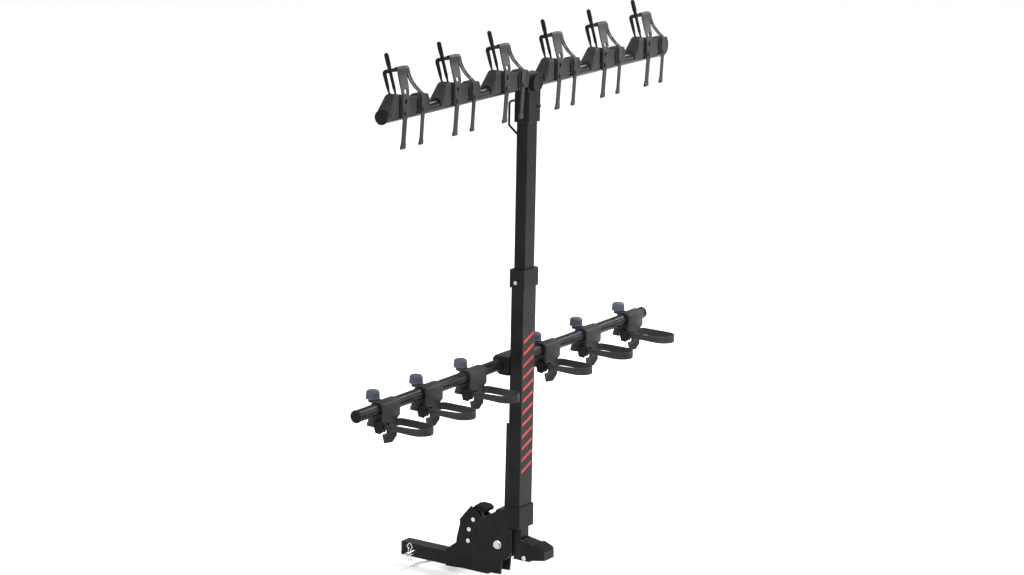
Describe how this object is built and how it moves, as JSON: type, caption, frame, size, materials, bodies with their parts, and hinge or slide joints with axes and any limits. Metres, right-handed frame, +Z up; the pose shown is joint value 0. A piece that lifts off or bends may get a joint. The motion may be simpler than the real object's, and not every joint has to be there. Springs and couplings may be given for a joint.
{
  "type": "hitch mounted bike rack",
  "caption": "Upright hitch rack: tilting telescoping mast on a square tongue, a top bar of fork cradles with straps, a lower bar of wheel clamps with ratchet loops, and a foot pedal lock.",
  "frame": {"origin": "where the hitch pin's axis crosses the axis of the square tongue", "axes": "+Y along the tongue towards the vehicle, +X towards the right end of the bars, +Z up along the mast"},
  "size_m": [1.816, 0.622, 2.0319],
  "materials": {
    "black_steel": "satin black powder coat",
    "zinc_steel": "bright zinc plate",
    "black_plastic": "fine grained black",
    "grey_plastic": "dark grey moulded nylon",
    "blue_plastic": "bluish dark grey, ribbed",
    "strap_plastic": "ribbed flexible band",
    "rubber": "soft matt rubber"
  },
  "bodies": {
    "base": {"tongue": "black_steel", "base_plates": "black_steel", "lock_sector": "black_steel", "sector_rivets": "zinc_steel", "stop_block": "rubber"},
    "hitch_pin": {"hitch_pin": "zinc_steel"},
    "hitch_clip": {"hitch_clip": "zinc_steel"},
    "mast": {"lower_mast": "black_steel", "mast_bracket": "black_steel", "mast_foot": "black_steel", "pivot_bolt": "zinc_steel", "bottom_collar": "black_plastic", "mid_collar": "black_plastic", "mast_bolts": "zinc_steel", "pedal_spring": "zinc_steel", "lower_bar": "black_steel", "lower_bar_caps": "black_plastic", "bar_bracket": "black_steel"},
    "pedal": {"pedal": "black_steel", "pedal_grip": "rubber"},
    "lock_bar": {"lock_bar": "zinc_steel"},
    "upper": {"upper_mast": "black_steel", "head_bracket": "black_steel", "head_cap": "black_plastic", "lock_loop": "black_steel", "top_bar": "black_steel", "top_bar_caps": "black_plastic", "cradle_base_1": "grey_plastic", "cradle_base_2": "grey_plastic", "cradle_base_3": "grey_plastic", "cradle_base_4": "grey_plastic", "cradle_base_5": "grey_plastic", "cradle_base_6": "grey_plastic", "tusk_rods": "black_steel", "tusk_sleeves": "rubber", "cradle_straps": "rubber"},
    "clamp_1": {"wheel_clamp_1": "grey_plastic", "wheel_strap_1": "strap_plastic"},
    "knob_1": {"clamp_knob_1": "blue_plastic"},
    "lever_1": {"buckle_lever_1": "grey_plastic"},
    "clamp_2": {"wheel_clamp_2": "grey_plastic", "wheel_strap_2": "strap_plastic"},
    "knob_2": {"clamp_knob_2": "blue_plastic"},
    "lever_2": {"buckle_lever_2": "grey_plastic"},
    "clamp_3": {"wheel_clamp_3": "grey_plastic", "wheel_strap_3": "strap_plastic"},
    "knob_3": {"clamp_knob_3": "blue_plastic"},
    "lever_3": {"buckle_lever_3": "grey_plastic"},
    "clamp_4": {"wheel_clamp_4": "grey_plastic", "wheel_strap_4": "strap_plastic"},
    "knob_4": {"clamp_knob_4": "blue_plastic"},
    "lever_4": {"buckle_lever_4": "grey_plastic"},
    "clamp_5": {"wheel_clamp_5": "grey_plastic", "wheel_strap_5": "strap_plastic"},
    "knob_5": {"clamp_knob_5": "blue_plastic"},
    "lever_5": {"buckle_lever_5": "grey_plastic"},
    "clamp_6": {"wheel_clamp_6": "grey_plastic", "wheel_strap_6": "strap_plastic"},
    "knob_6": {"clamp_knob_6": "blue_plastic"},
    "lever_6": {"buckle_lever_6": "grey_plastic"}
  },
  "joints": [
    {"name": "mast_tilt", "type": "hinge", "parent": "base", "child": "mast", "pos_m": [0, -0.364, 0.097], "axis": [1, 0, 0], "range_deg": [0, 36]},
    {"name": "hitch_pin_slide", "type": "slide", "parent": "base", "child": "hitch_pin", "axis": [1, 0, 0], "range_m": [0, 0.038]},
    {"name": "hitch_clip_lift", "type": "slide", "parent": "hitch_pin", "child": "hitch_clip", "axis": [0, 0, 1], "range_m": [0, 0.026]},
    {"name": "pedal_press", "type": "hinge", "parent": "mast", "child": "pedal", "pos_m": [0, -0.473, 0.066], "axis": [1, 0, 0], "range_deg": [0, 18], "stiffness_Nm_per_rad": 12, "springref_deg": -17.19},
    {"name": "lock_bar_pull", "type": "slide", "parent": "mast", "child": "lock_bar", "axis": [0, -1, 0], "range_m": [0, 0.0096]},
    {"name": "mast_telescope", "type": "slide", "parent": "mast", "child": "upper", "axis": [0, 0, 1], "range_m": [-0.1, 0.05]},
    {"name": "clamp_slide_1", "type": "slide", "parent": "mast", "child": "clamp_1", "axis": [1, 0, 0], "range_m": [-0.06, 0.06]},
    {"name": "knob_turn_1", "type": "hinge", "parent": "clamp_1", "child": "knob_1", "pos_m": [-0.744, -0.3193, 0.793], "axis": [0, 0, 1], "continuous": true},
    {"name": "lever_lift_1", "type": "hinge", "parent": "clamp_1", "child": "lever_1", "pos_m": [-0.748, -0.3893, 0.6915], "axis": [1, 0, 0], "range_deg": [-60, 0]},
    {"name": "clamp_slide_2", "type": "slide", "parent": "mast", "child": "clamp_2", "axis": [1, 0, 0], "range_m": [-0.06, 0.06]},
    {"name": "knob_turn_2", "type": "hinge", "parent": "clamp_2", "child": "knob_2", "pos_m": [-0.493, -0.3193, 0.793], "axis": [0, 0, 1], "continuous": true},
    {"name": "lever_lift_2", "type": "hinge", "parent": "clamp_2", "child": "lever_2", "pos_m": [-0.497, -0.3893, 0.6915], "axis": [1, 0, 0], "range_deg": [-60, 0]},
    {"name": "clamp_slide_3", "type": "slide", "parent": "mast", "child": "clamp_3", "axis": [1, 0, 0], "range_m": [-0.06, 0.06]},
    {"name": "knob_turn_3", "type": "hinge", "parent": "clamp_3", "child": "knob_3", "pos_m": [-0.226, -0.3193, 0.793], "axis": [0, 0, 1], "continuous": true},
    {"name": "lever_lift_3", "type": "hinge", "parent": "clamp_3", "child": "lever_3", "pos_m": [-0.23, -0.3893, 0.6915], "axis": [1, 0, 0], "range_deg": [-60, 0]},
    {"name": "clamp_slide_4", "type": "slide", "parent": "mast", "child": "clamp_4", "axis": [1, 0, 0], "range_m": [-0.06, 0.06]},
    {"name": "knob_turn_4", "type": "hinge", "parent": "clamp_4", "child": "knob_4", "pos_m": [0.246, -0.3193, 0.793], "axis": [0, 0, 1], "continuous": true},
    {"name": "lever_lift_4", "type": "hinge", "parent": "clamp_4", "child": "lever_4", "pos_m": [0.242, -0.3893, 0.6915], "axis": [1, 0, 0], "range_deg": [-60, 0]},
    {"name": "clamp_slide_5", "type": "slide", "parent": "mast", "child": "clamp_5", "axis": [1, 0, 0], "range_m": [-0.06, 0.06]},
    {"name": "knob_turn_5", "type": "hinge", "parent": "clamp_5", "child": "knob_5", "pos_m": [0.522, -0.3193, 0.793], "axis": [0, 0, 1], "continuous": true},
    {"name": "lever_lift_5", "type": "hinge", "parent": "clamp_5", "child": "lever_5", "pos_m": [0.518, -0.3893, 0.6915], "axis": [1, 0, 0], "range_deg": [-60, 0]},
    {"name": "clamp_slide_6", "type": "slide", "parent": "mast", "child": "clamp_6", "axis": [1, 0, 0], "range_m": [-0.06, 0.025]},
    {"name": "knob_turn_6", "type": "hinge", "parent": "clamp_6", "child": "knob_6", "pos_m": [0.815, -0.3193, 0.793], "axis": [0, 0, 1], "continuous": true},
    {"name": "lever_lift_6", "type": "hinge", "parent": "clamp_6", "child": "lever_6", "pos_m": [0.811, -0.3893, 0.6915], "axis": [1, 0, 0], "range_deg": [-60, 0]}
  ],
  "couplings": [
    {"joint": "lock_bar_pull", "follows": "pedal_press", "m_per_rad": 0.0305}
  ]
}
